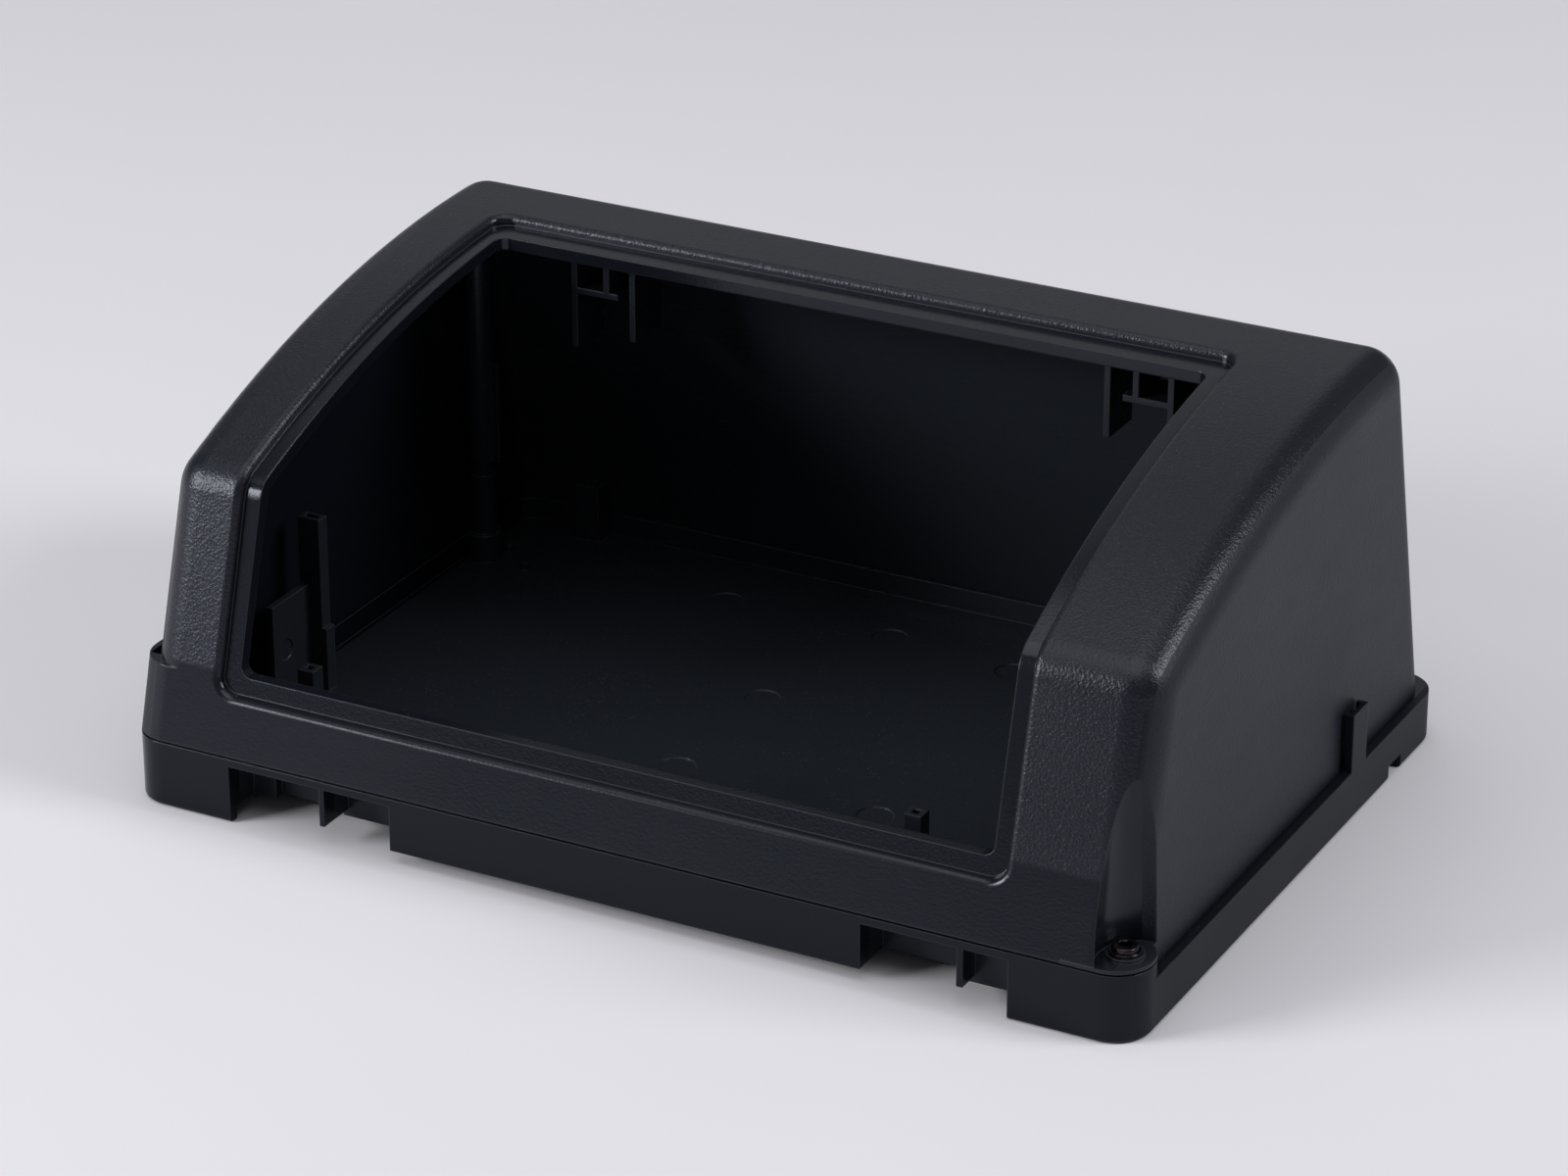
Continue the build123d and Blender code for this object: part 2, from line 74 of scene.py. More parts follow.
class Wiring:
    """Short calls that add nodes to one node tree and join them."""

    def __init__(self, tree: bpy.types.NodeTree) -> None:
        """Works on tree, whose nodes it clears first."""
        self.tree = tree
        tree.nodes.clear()

    def node(self, kind: str, **settings: object) -> bpy.types.Node:
        """Adds a node.

        Args:
            kind: Blender's name for the node type.
            settings: attributes of the node to set.

        Returns:
            The new node.
        """
        made = self.tree.nodes.new(kind)
        for name, value in settings.items():
            setattr(made, name, value)
        return made

    def feed(self, socket: bpy.types.NodeSocket, value: object) -> None:
        """Joins an output to socket, or writes a plain value on it."""
        if isinstance(value, bpy.types.NodeSocket):
            self.tree.links.new(value, socket)
        else:
            socket.default_value = value

    def math(self, operation: str, *values: object, clamp: bool = False) -> bpy.types.NodeSocket:
        """Adds a Math node.

        Args:
            operation: Blender's name for the operation.
            values: outputs or numbers for its inputs, in order.
            clamp: keeps the result between 0 and 1.

        Returns:
            The node's output.
        """
        made = self.node("ShaderNodeMath", operation=operation, use_clamp=clamp)
        for socket, value in zip(made.inputs, values):
            self.feed(socket, value)
        return made.outputs[0]

    def split(self, vector: bpy.types.NodeSocket) -> tuple[bpy.types.NodeSocket, ...]:
        """Takes a vector apart.

        Args:
            vector: the vector's output.

        Returns:
            Its three numbers.
        """
        made = self.node("ShaderNodeSeparateXYZ")
        self.feed(made.inputs[0], vector)
        return tuple(made.outputs)

    def both(self, *masks: bpy.types.NodeSocket) -> bpy.types.NodeSocket:
        """Multiplies masks.

        Args:
            masks: the masks' outputs.

        Returns:
            A mask of what they all hold.
        """
        shared = masks[0]
        for mask in masks[1:]:
            shared = self.math("MULTIPLY", shared, mask)
        return shared

    def ramp(self, value: object, low: float, high: float, to_low: float = 0.0,
             to_high: float = 1.0) -> bpy.types.NodeSocket:
        """Maps one range to another, softly and held at both ends.

        Args:
            value: the output to map.
            low: the value that gives to_low.
            high: the value that gives to_high.
            to_low: the result at and below low.
            to_high: the result at and above high.

        Returns:
            The mapped value.
        """
        made = self.node("ShaderNodeMapRange", interpolation_type="SMOOTHSTEP")
        for socket, number in zip(made.inputs, (value, low, high, to_low, to_high)):
            self.feed(socket, number)
        return made.outputs[0]

    def noise(self, vector: object, scale: object, detail: float, roughness: float) -> bpy.types.NodeSocket:
        """Adds a Noise Texture.

        Args:
            vector: the point on the piece.
            scale: cells in a metre.
            detail: how many finer layers it has.
            roughness: how strong the finer layers are.

        Returns:
            The noise's value.
        """
        made = self.node("ShaderNodeTexNoise")
        self.feed(made.inputs["Vector"], vector)
        self.feed(made.inputs["Scale"], scale)
        made.inputs["Detail"].default_value = detail
        made.inputs["Roughness"].default_value = roughness
        return made.outputs[0]

    def blend(self, mask: object, first: object, second: object) -> bpy.types.NodeSocket:
        """Mixes two numbers.

        Args:
            mask: where the second one is taken.
            first: the number at 0.
            second: the number at 1.

        Returns:
            The mixed number.
        """
        made = self.node("ShaderNodeMix", data_type="FLOAT")
        self.feed(made.inputs[0], mask)
        self.feed(made.inputs[2], first)
        self.feed(made.inputs[3], second)
        return made.outputs[0]

    def tint(self, mask: object, first: object, second: object) -> bpy.types.NodeSocket:
        """Mixes two colours.

        Args:
            mask: where the second one is taken.
            first: the colour at 0.
            second: the colour at 1.

        Returns:
            The mixed colour.
        """
        made = self.node("ShaderNodeMix", data_type="RGBA")
        self.feed(made.inputs[0], mask)
        self.feed(made.inputs[6], first)
        self.feed(made.inputs[7], second)
        return made.outputs[2]

    def group(self, tree: bpy.types.NodeTree, **values: object) -> bpy.types.Node:
        """Places a node group.

        Args:
            tree: the group's tree.
            values: outputs or numbers for its inputs; _ in a name stands for a space.

        Returns:
            The group node.
        """
        made = self.node("ShaderNodeGroup", node_tree=tree)
        for name, value in values.items():
            self.feed(made.inputs[name.replace("_", " ")], value)
        return made

    def surface(self, shader: bpy.types.Node, height: bpy.types.NodeSocket, distance: object,
                rounded: bpy.types.NodeSocket) -> None:
        """Gives a shader its relief and joins it to the output.

        Args:
            shader: the material's shader.
            height: the relief's height.
            distance: the relief's depth in metres.
            rounded: the normal that the relief lies on.
        """
        bump = self.node("ShaderNodeBump")
        bump.inputs["Strength"].default_value = 1.0
        self.feed(bump.inputs["Distance"], distance)
        self.feed(bump.inputs["Height"], height)
        self.feed(bump.inputs["Normal"], rounded)
        self.feed(shader.inputs["Normal"], bump.outputs[0])
        self.finish(shader)

    def finish(self, shader: bpy.types.Node) -> None:
        """Joins a shader to the material's output."""
        target = self.node("ShaderNodeOutputMaterial")
        self.feed(target.inputs["Surface"], shader.outputs[0])

    def rounded(self, radius: float) -> bpy.types.NodeSocket:
        """Adds a Bevel node.

        Args:
            radius: how far from an edge the normal turns, in metres.

        Returns:
            The normal with its edges rounded.
        """
        made = self.node("ShaderNodeBevel", samples=BEVEL_SAMPLES)
        made.inputs["Radius"].default_value = radius
        return made.outputs[0]


def new_material(name: str) -> tuple[bpy.types.Material, Wiring]:
    """Adds a material with an empty node tree.

    Args:
        name: the material's name.

    Returns:
        The material and its wiring.
    """
    material = bpy.data.materials.new(name)
    material.use_nodes = True
    return material, Wiring(material.node_tree)


class EffectGroup:
    """A shader node group with named inputs and outputs, built once."""

    name = "effect"
    inputs: tuple[tuple[str, str, float], ...] = ()
    outputs: tuple[tuple[str, str], ...] = ()

    def __init__(self) -> None:
        """Builds the group's tree."""
        self.tree = bpy.data.node_groups.new(self.name, "ShaderNodeTree")
        for label, kind, value in self.inputs:
            socket = self.tree.interface.new_socket(label, in_out="INPUT", socket_type=kind)
            if kind == "NodeSocketFloat":
                socket.default_value = value
        for label, kind in self.outputs:
            self.tree.interface.new_socket(label, in_out="OUTPUT", socket_type=kind)
        self.wiring = Wiring(self.tree)
        self.source = self.wiring.node("NodeGroupInput")
        self.sink = self.wiring.node("NodeGroupOutput")
        self.wire()

    def wire(self) -> None:
        """Joins the group's own nodes."""
        raise NotImplementedError


class SparkGrain(EffectGroup):
    """Fine pitted grain that a spark-eroded mould leaves on plastic."""

    name = "spark_grain"
    inputs = (
        ("Vector", "NodeSocketVector", 0.0),
        ("Scale", "NodeSocketFloat", 1500.0),
    )
    outputs = (("Height", "NodeSocketFloat"), ("Fleck", "NodeSocketFloat"))
    cell_softness = 0.7
    cell_share = 0.7
    fine_share = 0.6
    fine_ratio = 1.9
    fine_detail = 3.0
    fine_roughness = 0.6
    fleck_from = 0.35
    fleck_full = 0.7

    def wire(self) -> None:
        """Adds pits from cells to a fine noise."""
        w = self.wiring
        cells = w.node("ShaderNodeTexVoronoi", feature="SMOOTH_F1", voronoi_dimensions="3D")
        w.feed(cells.inputs["Vector"], self.source.outputs["Vector"])
        w.feed(cells.inputs["Scale"], self.source.outputs["Scale"])
        cells.inputs["Smoothness"].default_value = self.cell_softness
        fine_scale = w.math("MULTIPLY", self.source.outputs["Scale"], self.fine_ratio)
        fine = w.noise(self.source.outputs["Vector"], fine_scale, self.fine_detail, self.fine_roughness)
        height = w.math("MULTIPLY_ADD", cells.outputs["Distance"], self.cell_share,
                        w.math("MULTIPLY", fine, self.fine_share))
        w.feed(self.sink.inputs["Height"], height)
        w.feed(self.sink.inputs["Fleck"], w.ramp(fine, self.fleck_from, self.fleck_full))


class SlowMottle(EffectGroup):
    """Broad, faint unevenness of gloss from flow in the mould and from handling."""

    name = "slow_mottle"
    inputs = (
        ("Vector", "NodeSocketVector", 0.0),
        ("Scale", "NodeSocketFloat", 22.0),
    )
    outputs = (("Cloud", "NodeSocketFloat"), ("Streak", "NodeSocketFloat"))
    cloud_detail = 4.0
    cloud_roughness = 0.55
    streak_stretch = (0.25, 1.0, 2.6)
    streak_ratio = 3.0
    streak_detail = 3.0
    streak_roughness = 0.5

    def wire(self) -> None:
        """Mixes clouds with streaks drawn along the part's length."""
        w = self.wiring
        cloud = w.noise(self.source.outputs["Vector"], self.source.outputs["Scale"],
                        self.cloud_detail, self.cloud_roughness)
        stretch = w.node("ShaderNodeMapping")
        stretch.inputs["Scale"].default_value = self.streak_stretch
        w.feed(stretch.inputs["Vector"], self.source.outputs["Vector"])
        streak_scale = w.math("MULTIPLY", self.source.outputs["Scale"], self.streak_ratio)
        streak = w.noise(stretch.outputs[0], streak_scale, self.streak_detail, self.streak_roughness)
        w.feed(self.sink.inputs["Cloud"], cloud)
        w.feed(self.sink.inputs["Streak"], streak)


class FineDust(EffectGroup):
    """Sparse pale specks that lie on faces turned upwards."""

    name = "fine_dust"
    inputs = (
        ("Vector", "NodeSocketVector", 0.0),
        ("Normal", "NodeSocketVector", 0.0),
        ("Amount", "NodeSocketFloat", 0.3),
    )
    outputs = (("Specks", "NodeSocketFloat"),)
    upward_range = (0.3, 0.95)
    speck_noise = (2600.0, 2.0, 0.5)
    speck_range = (0.66, 0.78)
    patch_noise = (60.0, 3.0, 0.6)
    patch_range = (0.35, 0.7)
    patch_least = 0.2

    def wire(self) -> None:
        """Keeps the brightest points of a fine noise, on top faces."""
        w = self.wiring
        place = self.source.outputs["Vector"]
        upward = w.ramp(w.split(self.source.outputs["Normal"])[2], *self.upward_range)
        grains = w.ramp(w.noise(place, *self.speck_noise), *self.speck_range)
        patches = w.ramp(w.noise(place, *self.patch_noise), *self.patch_range, self.patch_least)
        specks = w.both(grains, patches, upward)
        shown = w.math("MULTIPLY", specks, self.source.outputs["Amount"], clamp=True)
        w.feed(self.sink.inputs["Specks"], shown)


@dataclass
class Effects:
    """The groups that the finishes share."""

    grain: SparkGrain = field(default_factory=SparkGrain)
    mottle: SlowMottle = field(default_factory=SlowMottle)
    dust: FineDust = field(default_factory=FineDust)


# ---------------------------------------------------------------------------
# Finishes
# ---------------------------------------------------------------------------


@dataclass
class Faces:
    """Masks over a moulded half, 1 where each finish lies."""

    grained: bpy.types.NodeSocket
    ledge: bpy.types.NodeSocket
    inside: bpy.types.NodeSocket
    side: bpy.types.NodeSocket


@dataclass(frozen=True)
class CoverZones:
    """Where the cover is grained, where it is glossy and where it is its own inside, in metres."""

    half_width: float = 0.0953
    inner_half_width: float = 0.0925
    front_foot_y: float = -0.069
    front_foot_z: float = 0.0128
    front_lean: float = 0.28
    smooth_depth: float = 0.0012
    wall_depth: float = 0.0034
    scoop_depth: float = 0.0145
    scoop_half_width: float = 0.0865
    band_top: float = 0.0272
    band_fade: float = 0.0012
    top_skin_z: float = 0.0560
    top_skin_tilt: float = 0.02
    rear_foot_y: float = 0.0688
    rear_lean: float = 0.2184
    rear_wall: float = 0.0013
    window_centre_x: float = -0.004
    window_half: float = 0.0781
    window_narrowing: float = 0.0228
    window_sill_z: float = 0.0235
    window_head_y: float = 0.0325

    def masks(self, w: Wiring, place: bpy.types.NodeSocket, facing: bpy.types.NodeSocket) -> Faces:
        """Finds the cover's finishes by position and normal.

        Args:
            w: the material's wiring.
            place: the point on the piece.
            facing: the face normal.

        Returns:
            The masks.
        """
        x, y, z = w.split(place)
        upward = w.split(facing)[2]
        half = w.math("ABSOLUTE", x)
        front_at_floor = self.front_foot_y - self.front_lean * self.front_foot_z
        front = w.math("MULTIPLY_ADD", z, self.front_lean, front_at_floor)
        depth = w.math("SUBTRACT", y, front)
        rear = w.math("MULTIPLY_ADD", z, self.rear_lean, y)

        window = w.math("ABSOLUTE", w.math("SUBTRACT", x, self.window_centre_x))
        along = w.math("SUBTRACT", y, self.front_foot_y)
        window = w.math("MULTIPLY_ADD", along, self.window_narrowing, window)
        ledge = w.both(w.math("LESS_THAN", window, self.window_half),
                       w.math("GREATER_THAN", z, self.window_sill_z),
                       w.math("LESS_THAN", y, self.window_head_y))

        on_side = w.math("GREATER_THAN", half, self.half_width)
        on_front = w.math("LESS_THAN", depth, self.smooth_depth)
        on_top = w.both(w.math("GREATER_THAN", upward, self.top_skin_tilt),
                        w.math("GREATER_THAN", z, self.top_skin_z))
        on_rear = w.math("GREATER_THAN", rear, self.rear_foot_y)
        skin = w.math("MAXIMUM", w.math("MAXIMUM", on_side, on_front), w.math("MAXIMUM", on_top, on_rear))
        above = w.ramp(z, self.band_top, self.band_top + self.band_fade)
        above = w.math("MAXIMUM", above, on_side)
        grained = w.both(skin, above, w.math("SUBTRACT", 1.0, ledge))

        clear_of_scoop = w.math("MAXIMUM", w.math("GREATER_THAN", depth, self.scoop_depth),
                                w.math("LESS_THAN", half, self.scoop_half_width))
        inside = w.both(w.math("LESS_THAN", half, self.inner_half_width), clear_of_scoop,
                        w.math("GREATER_THAN", depth, self.wall_depth),
                        w.math("LESS_THAN", rear, self.rear_foot_y - self.rear_wall),
                        w.math("SUBTRACT", 1.0, w.math("MAXIMUM", on_top, ledge)))
        return Faces(grained, ledge, inside, on_side)


@dataclass(frozen=True)
class TrayZones:
    """Where the tray is glossy and where it is its own inside, in metres."""

    half_width: float = 0.0985
    inner_half_width: float = 0.0935
    inner_front_y: float = -0.0655
    inner_rear_y: float = 0.0655
    floor_z: float = 0.0015
    flange_z: float = 0.0122
    flange_tilt: float = 0.5

    def masks(self, w: Wiring, place: bpy.types.NodeSocket, facing: bpy.types.NodeSocket) -> Faces:
        """Finds the tray's finishes by position and normal.

        Args:
            w: the material's wiring.
            place: the point on the piece.
            facing: the face normal.

        Returns:
            The masks.
        """
        x, y, z = w.split(place)
        upward = w.split(facing)[2]
        inside = w.both(w.math("LESS_THAN", w.math("ABSOLUTE", x), self.inner_half_width),
                        w.math("GREATER_THAN", y, self.inner_front_y),
                        w.math("LESS_THAN", y, self.inner_rear_y),
                        w.math("GREATER_THAN", z, self.floor_z))
        flange = w.both(w.math("GREATER_THAN", upward, self.flange_tilt),
                        w.math("GREATER_THAN", z, self.flange_z),
                        w.math("SUBTRACT", 1.0, inside))
        none = w.math("MULTIPLY", flange, 0.0)
        return Faces(none, flange, inside, w.math("GREATER_THAN", x, self.half_width))


@dataclass(frozen=True)
class MouldedBlack:
    """Black moulded plastic: grained skin, satin bands, glossy ledges and a plainer inside; the inside
    carries a painted fill that makes it paler and the crisp edges carry a painted highlight.
    """

    name: str
    zones: CoverZones | TrayZones
    body: Colour = (0.0058, 0.0070, 0.0106, 1.0)
    fleck: Colour = (0.0110, 0.0124, 0.0175, 1.0)
    # Painted fill: the inside is the same plastic, given a paler colour to stand in for light reaching the
    # interior.
    inside_painted_fill: Colour = (0.0138, 0.0165, 0.0212, 1.0)
    # Colour of the painted highlight that crisp edges are lightened towards.
    edge_highlight: Colour = (0.0420, 0.0440, 0.0520, 1.0)
    dust: Colour = (0.30, 0.30, 0.31, 1.0)
    sheen_tint: Colour = (0.84, 0.88, 1.0, 1.0)
    ior: float = 1.40
    grain_scale: float = 1900.0
    grain_depth: float = 0.00008
    satin_depth: float = 0.000012
    inner_depth: float = 0.00002
    grained_roughness: float = 0.27
    satin_roughness: float = 0.21
    side_roughness: float = 0.50
    ledge_roughness: float = 0.15
    inner_roughness: float = 0.27
    mottle_scale: float = 24.0
    cloud_share: float = 0.10
    streak_share: float = 0.05
    dust_amount: float = 0.25
    edge_radius: float = 0.00040
    # How far the rounded normal turns before the painted edge highlight starts and is full, and how strong
    # the painted highlight is.
    highlight_from: float = 0.03
    highlight_full: float = 0.16
    highlight_share: float = 0.85

    def make(self, effects: Effects) -> bpy.types.Material:
        """Builds the material.

        Args:
            effects: the shared groups.

        Returns:
            The material.
        """
        material, w = new_material(self.name)
        place = w.node("ShaderNodeTexCoord").outputs["Object"]
        facing = w.node("ShaderNodeNewGeometry").outputs["Normal"]
        faces = self.zones.masks(w, place, facing)
        grain = w.group(effects.grain.tree, Vector=place, Scale=self.grain_scale)
        mottle = w.group(effects.mottle.tree, Vector=place, Scale=self.mottle_scale)
        dust = w.group(effects.dust.tree, Vector=place, Normal=facing, Amount=self.dust_amount)
        rounded = w.rounded(self.edge_radius)

        shader = w.node("ShaderNodeBsdfPrincipled")
        fleck = w.math("MULTIPLY", grain.outputs["Fleck"], faces.grained)
        # Painted fill: inside faces take a paler colour that stands in for light reaching the interior.
        base = w.tint(faces.inside, w.tint(fleck, self.body, self.fleck), self.inside_painted_fill)
        # Painted highlight: crisp edges are lightened towards a paler colour, standing in for light caught
        # along them.
        base = w.tint(self.painted_edge_highlight(w, rounded), base, self.edge_highlight)
        w.feed(shader.inputs["Base Color"], w.tint(dust.outputs["Specks"], base, self.dust))
        rough = w.blend(faces.grained, self.satin_roughness, self.grained_roughness)
        rough = w.blend(faces.side, rough, self.side_roughness)
        rough = w.blend(faces.ledge, rough, self.ledge_roughness)
        rough = w.blend(faces.inside, rough, self.inner_roughness)
        for output, share in (("Cloud", self.cloud_share), ("Streak", self.streak_share)):
            swing = w.math("MULTIPLY_ADD", mottle.outputs[output], share, -share / 2.0)
            rough = w.math("ADD", rough, swing)
        w.feed(shader.inputs["Roughness"], rough)
        shader.inputs["IOR"].default_value = self.ior
        shader.inputs["Specular Tint"].default_value = self.sheen_tint

        deep = w.blend(faces.grained, self.satin_depth, self.grain_depth)
        deep = w.blend(faces.inside, deep, self.inner_depth)
        w.surface(shader, grain.outputs["Height"], deep, rounded)
        return material

    def painted_edge_highlight(self, w: Wiring, rounded: bpy.types.NodeSocket) -> bpy.types.NodeSocket:
        """Finds the crisp edges, which a painted highlight makes paler.

        Args:
            w: the material's wiring.
            rounded: the normal with its edges rounded.

        Returns:
            1 on the edges and 0 on the faces.
        """
        flat = w.node("ShaderNodeNewGeometry").outputs["True Normal"]
        turn = w.node("ShaderNodeVectorMath", operation="DOT_PRODUCT")
        w.feed(turn.inputs[0], rounded)
        w.feed(turn.inputs[1], flat)
        bend = w.math("SUBTRACT", 1.0, turn.outputs["Value"])
        return w.ramp(bend, self.highlight_from, self.highlight_full, 0.0, self.highlight_share)


COVER_FINISH = MouldedBlack("cover_grained", CoverZones())
TRAY_FINISH = MouldedBlack("tray_satin", TrayZones(), body=(0.0036, 0.0046, 0.0072, 1.0), ior=1.31)


@dataclass(frozen=True)
class BlackenedSteel:
    """Black zinc finish on a small screw."""

    name: str = "blackened_steel"
    body: Colour = (0.024, 0.018, 0.021, 1.0)
    worn: Colour = (0.10, 0.10, 0.10, 1.0)
    roughness: float = 0.24
    metallic: float = 0.85
    grain_scale: float = 5200.0
    grain_depth: float = 0.000006
    mottle_scale: float = 420.0
    mottle_share: float = 0.16
    worn_range: tuple[float, float] = (0.52, 0.78)
    worn_share: float = 0.6
    edge_radius: float = 0.00008

    def make(self, effects: Effects) -> bpy.types.Material:
        """Builds the material.

        Args:
            effects: the shared groups.

        Returns:
            The material.
        """
        material, w = new_material(self.name)
        place = w.node("ShaderNodeTexCoord").outputs["Object"]
        grain = w.group(effects.grain.tree, Vector=place, Scale=self.grain_scale)
        mottle = w.group(effects.mottle.tree, Vector=place, Scale=self.mottle_scale)
        shader = w.node("ShaderNodeBsdfPrincipled")
        wear = w.ramp(mottle.outputs["Cloud"], *self.worn_range, 0.0, self.worn_share)
        w.feed(shader.inputs["Base Color"], w.tint(wear, self.body, self.worn))
        rough = w.math("MULTIPLY_ADD", mottle.outputs["Cloud"], self.mottle_share,
                       self.roughness - self.mottle_share / 2.0)
        w.feed(shader.inputs["Roughness"], rough)
        shader.inputs["Metallic"].default_value = self.metallic
        w.surface(shader, grain.outputs["Height"], self.grain_depth, w.rounded(self.edge_radius))
        return material


# ---------------------------------------------------------------------------
# Sub-assemblies
# ---------------------------------------------------------------------------


def dress(node: bpy.types.Object, material: bpy.types.Material) -> None:
    """Gives every material slot of a CAD node the finish."""
    if not node.material_slots:
        node.data.materials.append(material)
    for slot in node.material_slots:
        slot.material = material


@dataclass
class MouldedHalf:
    """A moulded half of the housing, kept as the frame has it."""

    node: str
    finish: MouldedBlack

    def build(self, frame: dict, effects: Effects) -> bpy.types.Object:
        """Dresses the half.

        Args:
            frame: what the loader returned.
            effects: the shared groups.

        Returns:
            The half's object.
        """
        piece = frame["nodes"][self.node]
        dress(piece, self.finish.make(effects))
        LOG.info("dressed %s in %s", self.node, self.finish.name)
        return piece


class Heading(Enum):
    """Which way a screw's head points."""

    UP = "up"
    DOWN = "down"


@dataclass(frozen=True)
class CapScrew:
    """Small socket-head screw with a collar under its head and a cut thread, in metres."""

    rim_radius: float = 0.0028
    rim_height: float = 0.0005
    head_radius: float = 0.0023
    head_height: float = 0.0015
    rim_softness: float = 0.00008
    crown: float = 0.00045
    crown_rings: tuple[tuple[float, float], ...] = ((0.45, 0.975), (0.30, 0.94), (0.17, 0.90), (0.08, 0.86))
    socket_across: float = 0.0022
    socket_depth: float = 0.0011
    socket_mouth: float = 0.00022
    mouth_depth: float = 0.000352
    socket_sides: int = 6
    overcut: float = 0.001
    core_radius: float = 0.00115
    crest_radius: float = 0.00144
    pitch: float = 0.0013
    plain_neck: float = 0.0006
    tip_length: float = 0.0016
    tip_rings: tuple[tuple[float, float], ...] = ((0.7, 0.55), (0.3, 0.3))
    root_sink: float = 0.0001
    smooth_angle: float = 35.0
    sides: int = 48
    thread_steps: int = 24

    def build(self, node: str, foot: Vector, length: float, heading: Heading,
              finish: bpy.types.Material) -> bpy.types.Object:
        """Builds one screw in place of its node.

        Args:
            node: the CAD node that the screw stands for.
            foot: the middle of the seat that its head rests on.
            length: the shank's length under the head.
            heading: which way the head points.
            finish: the screw's material.

        Returns:
            The screw's object.
        """
        screw = self.blank(length)
        self.cut_socket(screw)
        thread = self.thread(length)
        bpy.ops.object.select_all(action="DESELECT")
        thread.select_set(True)
        screw.select_set(True)
        bpy.context.view_layer.objects.active = screw
        bpy.ops.object.join()
        screw.name = f"{node}_threaded"
        screw.location = foot
        if heading is Heading.DOWN:
            screw.rotation_euler = (math.pi, 0.0, 0.0)
        bpy.ops.object.transform_apply(location=True, rotation=True, scale=True)
        bpy.ops.object.shade_smooth_by_angle(angle=math.radians(self.smooth_angle))
        screw.data.materials.clear()
        screw.data.materials.append(finish)
        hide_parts(node)
        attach(screw, "root")
        LOG.info("built %s, %.0f mm under the head", screw.name, length / MM)
        return screw

    def step(self, rise: float, factor: float) -> None:
        """Extrudes the selected cap along the axis, then scales it.

        Args:
            rise: how far it goes up, in metres.
            factor: what its radius is multiplied by.
        """
        bpy.ops.mesh.extrude_region_move(TRANSFORM_OT_translate={"value": (0.0, 0.0, rise)})
        bpy.ops.transform.resize(value=(factor, factor, 1.0), center_override=(0.0, 0.0, 0.0))

    def blank(self, length: float) -> bpy.types.Object:
        """Makes the head, core and tip from one disc.

        Args:
            length: the shank's length under the head.

        Returns:
            The screw without its socket and thread.
        """
        bpy.ops.object.select_all(action="DESELECT")
        bpy.ops.mesh.primitive_circle_add(vertices=self.sides, radius=self.rim_radius, fill_type="NGON")
        screw = bpy.context.object
        bpy.ops.object.mode_set(mode="EDIT")
        bpy.ops.mesh.select_mode(type="FACE")
        bpy.ops.mesh.select_all(action="SELECT")
        soft = self.rim_softness
        self.step(self.rim_height - soft, 1.0)
        self.step(soft, 1.0 - soft / self.rim_radius)
        self.step(0.0, self.head_radius / (self.rim_radius - soft))
        self.step(self.head_height - self.rim_height - self.crown, 1.0)
        for rise, factor in self.crown_rings:
            self.step(rise * self.crown, factor)
        bpy.ops.mesh.select_all(action="DESELECT")
        bpy.ops.object.mode_set(mode="OBJECT")
        self.close_foot(screw)
        bpy.ops.object.mode_set(mode="EDIT")
        self.step(0.0, self.core_radius / self.rim_radius)
        self.step(-(length - self.tip_length), 1.0)
        for drop, factor in self.tip_rings:
            self.step(-drop * self.tip_length, factor)
        bpy.ops.mesh.select_all(action="SELECT")
        bpy.ops.mesh.remove_doubles(threshold=TOUCHING)
        bpy.ops.mesh.normals_make_consistent(inside=False)
        bpy.ops.object.mode_set(mode="OBJECT")
        return screw

    def close_foot(self, screw: bpy.types.Object) -> None:
        """Fills the open ring under the head and leaves it selected.

        Args:
            screw: the screw so far.
        """
        for vertex in screw.data.vertices:
            vertex.select = abs(vertex.co.z) < TOUCHING
        bpy.ops.object.mode_set(mode="EDIT")
        bpy.ops.mesh.select_mode(type="VERT")
        bpy.ops.mesh.edge_face_add()
        bpy.ops.mesh.select_mode(type="FACE")
        bpy.ops.object.mode_set(mode="OBJECT")

    def cut_socket(self, screw: bpy.types.Object) -> None:
        """Cuts the six-sided socket with its countersunk mouth.

        Args:
            screw: the screw so far.
        """
        corner = self.socket_across / 2.0 / math.cos(math.pi / self.socket_sides)
        flat, mouth = self.socket_across / 2.0, corner + self.socket_mouth
        middle = self.head_height + (self.overcut - self.socket_depth) / 2.0
        cutters = (
            (corner, corner, middle, self.socket_depth + self.overcut, self.socket_sides),
            (flat, mouth, self.head_height, self.mouth_depth, self.sides),
        )
        for low, high, centre, depth, sides in cutters:
            bpy.ops.object.select_all(action="DESELECT")
            bpy.ops.mesh.primitive_cone_add(vertices=sides, radius1=low, radius2=high, depth=depth,
                                            location=(0.0, 0.0, centre))
            cutter = bpy.context.object
            bpy.context.view_layer.objects.active = screw
            cut = screw.modifiers.new("socket", "BOOLEAN")
            cut.operation = "DIFFERENCE"
            cut.solver = "EXACT"
            cut.object = cutter
            bpy.ops.object.modifier_apply(modifier=cut.name)
            bpy.data.objects.remove(cutter)

